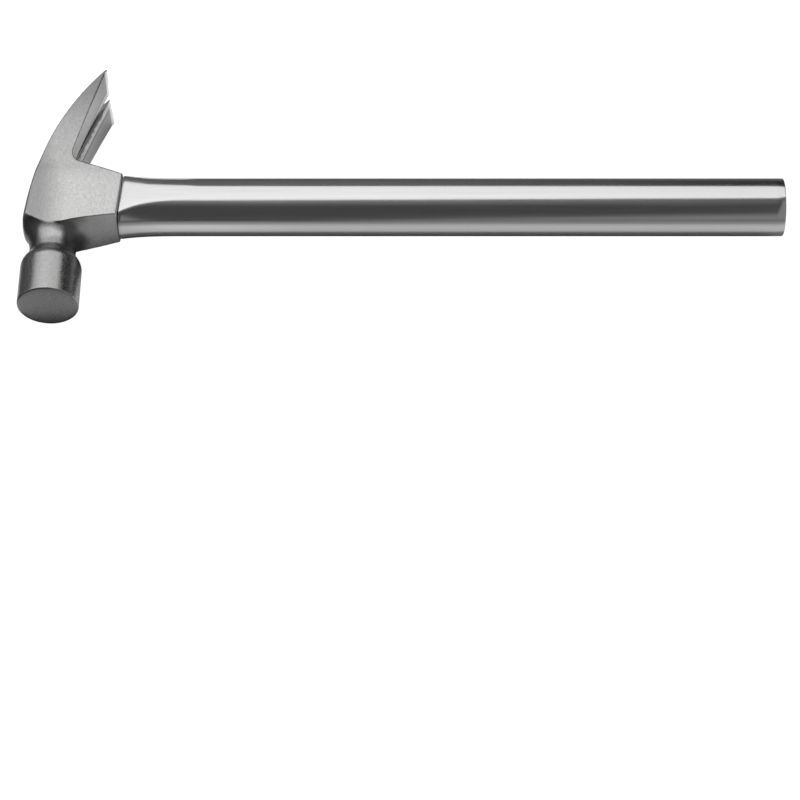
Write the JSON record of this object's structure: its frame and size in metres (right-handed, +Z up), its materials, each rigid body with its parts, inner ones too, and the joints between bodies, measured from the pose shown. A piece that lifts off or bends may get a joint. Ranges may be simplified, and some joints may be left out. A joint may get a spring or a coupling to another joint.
{
  "type": "straight claw hammer",
  "caption": "Straight claw hammer: a forged steel head with bell, neck, tapered socket and split claw, wedged on the squared tenon of a bright round steel tube handle",
  "frame": {"origin": "under the middle of the whole hammer's box, on the surface it lies on, with the hammer lying on its side", "axes": "+X along the handle from the head to the butt, +Y to the claw with the striking face towards -Y, +Z up across the cheeks"},
  "size_m": [0.3314, 0.1172, 0.0376],
  "materials": {
    "head_steel": "forged steel, cheeks and claw brushed along the head, bell ground, light oil sheen",
    "tube_steel": "bright drawn steel tube, polished along its length",
    "core_wood": "end grain hardwood, sanded flush",
    "wedge_steel": "mild steel, hammered end",
    "plug_plastic": "moulded plastic, fine matte grain"
  },
  "bodies": {
    "root": {"hammer_head": "head_steel", "handle_tube": "tube_steel", "tenon_core": "core_wood", "wedge_claw_side": "wedge_steel", "wedge_face_side": "wedge_steel", "butt_plug": "plug_plastic"}
  },
  "joints": []
}
